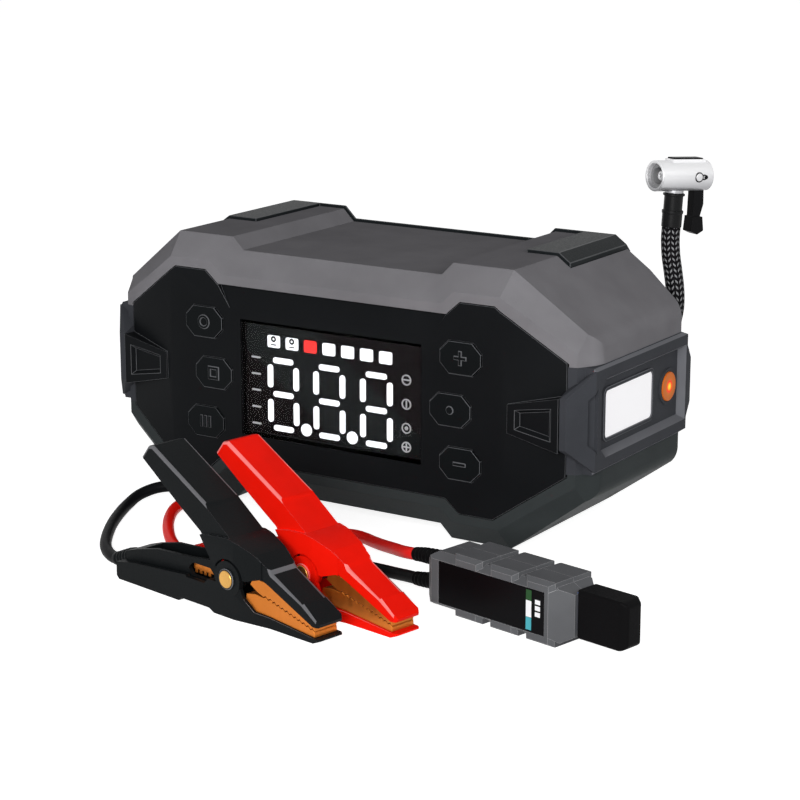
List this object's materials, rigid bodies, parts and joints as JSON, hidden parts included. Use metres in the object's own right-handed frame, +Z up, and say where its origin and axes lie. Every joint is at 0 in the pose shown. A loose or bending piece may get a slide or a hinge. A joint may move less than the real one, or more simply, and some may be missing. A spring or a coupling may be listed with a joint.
{
  "type": "jump starter pack",
  "caption": "Portable jump starter with a display, keys, side work lamp, covered ports, a tyre pump with clip-on chuck hose, and clamp leads with an in-line box.",
  "frame": {"origin": "middle of the unit's base on the surface it stands on, under the centre of its feet", "axes": "+Z up, -Y towards the side that the display faces, +X towards the side with the work lamp"},
  "size_m": [0.3322, 0.2689, 0.1669],
  "materials": {
    "upper_plastic": "satin",
    "lower_plastic": "satin",
    "bumper_plastic": "satin",
    "panel_plastic": "gloss",
    "rear_plastic": "matt",
    "dark_glass": "gloss",
    "board": "satin",
    "lit_white": "gloss",
    "key_plastic": "satin",
    "orange_plastic": "gloss",
    "lamp_diffuser": "gloss",
    "cover_rubber": "matt",
    "blue_plastic": "satin",
    "foot_rubber": "matt",
    "steel": "satin",
    "pouch_foil": "satin",
    "cast_alloy": "matt",
    "nylon": "satin",
    "brass": "polished",
    "clear_tube": "satin",
    "hose_braid": "woven",
    "silver_alloy": "satin",
    "black_rubber": "matt",
    "box_plastic": "satin",
    "box_black": "gloss",
    "lead_black": "satin",
    "lead_red": "satin",
    "copper": "polished",
    "clamp_black": "satin",
    "clamp_red": "satin"
  },
  "bodies": {
    "unit": {"upper_shell": "upper_plastic", "lower_shell": "lower_plastic", "left_bumper": "bumper_plastic", "right_bumper": "bumper_plastic", "front_fascia": "panel_plastic", "rear_shell": "rear_plastic", "display_window": "dark_glass", "front_board": "board", "display_segments": "lit_white", "lamp_window": "lamp_diffuser", "lamp_board": "board", "jump_socket": "blue_plastic", "port_board": "board", "feet": "foot_rubber", "case_screws": "steel", "battery_cells": "pouch_foil", "main_board": "board", "pump_block": "cast_alloy", "cylinder_head": "cast_alloy", "pump_motor": "steel", "air_tube": "clear_tube", "hose_outlet": "rear_plastic", "air_hose": "hose_braid", "hose_sleeve": "black_rubber", "chuck_barrel": "silver_alloy", "chuck_seal": "black_rubber", "box_front": "box_plastic", "box_rear": "box_plastic", "box_window": "box_black", "box_board": "board", "jump_plug": "blue_plastic", "lead_black": "lead_black", "lead_red": "lead_red", "clamp_rivets": "brass", "black_lower_arm": "clamp_black", "black_lower_jaw": "copper", "black_spring": "steel", "red_lower_arm": "clamp_red", "red_lower_jaw": "copper", "red_spring": "steel"},
    "power_button": {"power_button": "orange_plastic"},
    "port_cover": {"port_cover": "cover_rubber"},
    "chuck_lever": {"chuck_lever": "key_plastic"},
    "chuck_plunger": {"chuck_plunger": "brass"},
    "pump_piston": {"pump_piston": "nylon"},
    "crank_gear": {"crank_gear": "nylon"},
    "motor_pinion": {"motor_pinion": "brass"},
    "plug_cap": {"plug_cap": "black_rubber"},
    "black_clamp_upper": {"black_upper_arm": "clamp_black", "black_upper_jaw": "copper"},
    "red_clamp_upper": {"red_upper_arm": "clamp_red", "red_upper_jaw": "copper"},
    "key_left_top": {"key_left_top": "key_plastic"},
    "key_left_mid": {"key_left_mid": "key_plastic"},
    "key_left_low": {"key_left_low": "key_plastic"},
    "key_right_top": {"key_right_top": "key_plastic"},
    "key_right_mid": {"key_right_mid": "key_plastic"},
    "key_right_low": {"key_right_low": "key_plastic"}
  },
  "joints": [
    {"name": "key_left_top_press", "type": "slide", "parent": "unit", "child": "key_left_top", "axis": [0, 1, 0], "range_m": [0, 0.001], "stiffness_N_per_m": 500, "springref_m": -0.001},
    {"name": "key_left_mid_press", "type": "slide", "parent": "unit", "child": "key_left_mid", "axis": [0, 1, 0], "range_m": [0, 0.001], "stiffness_N_per_m": 500, "springref_m": -0.001},
    {"name": "key_left_low_press", "type": "slide", "parent": "unit", "child": "key_left_low", "axis": [0, 1, 0], "range_m": [0, 0.001], "stiffness_N_per_m": 500, "springref_m": -0.001},
    {"name": "key_right_top_press", "type": "slide", "parent": "unit", "child": "key_right_top", "axis": [0, 1, 0], "range_m": [0, 0.001], "stiffness_N_per_m": 500, "springref_m": -0.001},
    {"name": "key_right_mid_press", "type": "slide", "parent": "unit", "child": "key_right_mid", "axis": [0, 1, 0], "range_m": [0, 0.001], "stiffness_N_per_m": 500, "springref_m": -0.001},
    {"name": "key_right_low_press", "type": "slide", "parent": "unit", "child": "key_right_low", "axis": [0, 1, 0], "range_m": [0, 0.001], "stiffness_N_per_m": 500, "springref_m": -0.001},
    {"name": "power_button_press", "type": "slide", "parent": "unit", "child": "power_button", "axis": [-1, 0, 0], "range_m": [0, 0.0015], "stiffness_N_per_m": 600, "springref_m": -0.001},
    {"name": "port_cover_hinge", "type": "hinge", "parent": "unit", "child": "port_cover", "pos_m": [-0.1302, 0.0035, 0.0523], "axis": [0, -1, 0], "range_deg": [0, 110]},
    {"name": "chuck_lever_hinge", "type": "hinge", "parent": "unit", "child": "chuck_lever", "pos_m": [0.12055, 0.07461, 0.15788], "axis": [0.8988, -0.4384, 0], "range_deg": [0, 90]},
    {"name": "chuck_plunger_slide", "type": "slide", "parent": "unit", "child": "chuck_plunger", "axis": [-0.4373, -0.8966, 0.0698], "range_m": [0, 0.0012]},
    {"name": "pump_piston_slide", "type": "slide", "parent": "unit", "child": "pump_piston", "axis": [1, 0, 0], "range_m": [0, 0.01]},
    {"name": "crank_gear_spin", "type": "hinge", "parent": "unit", "child": "crank_gear", "pos_m": [0.07, -0.0055, 0.045], "axis": [0, 1, 0], "continuous": true},
    {"name": "motor_pinion_spin", "type": "hinge", "parent": "unit", "child": "motor_pinion", "pos_m": [0.07, 0, 0.069], "axis": [0, 1, 0], "continuous": true},
    {"name": "plug_cap_slide", "type": "slide", "parent": "unit", "child": "plug_cap", "axis": [0.9781, -0.2079, 0], "range_m": [0, 0.03]},
    {"name": "black_clamp_hinge", "type": "hinge", "parent": "unit", "child": "black_clamp_upper", "pos_m": [0.03731, -0.16992, 0.0168], "axis": [-0.2079, -0.9781, 0], "range_deg": [0, 28], "stiffness_Nm_per_rad": 1.5, "springref_deg": -22.92, "deforming": ["black_spring"]},
    {"name": "red_clamp_hinge", "type": "hinge", "parent": "unit", "child": "red_clamp_upper", "pos_m": [0.05971, -0.14752, 0.0168], "axis": [-0.2079, -0.9781, 0], "range_deg": [0, 28], "stiffness_Nm_per_rad": 1.5, "springref_deg": -22.92, "deforming": ["red_spring"]}
  ],
  "couplings": [
    {"joint": "chuck_lever_hinge", "follows": "chuck_plunger_slide", "rad_per_m": 1309},
    {"joint": "motor_pinion_spin", "follows": "crank_gear_spin", "ratio": -5}
  ]
}
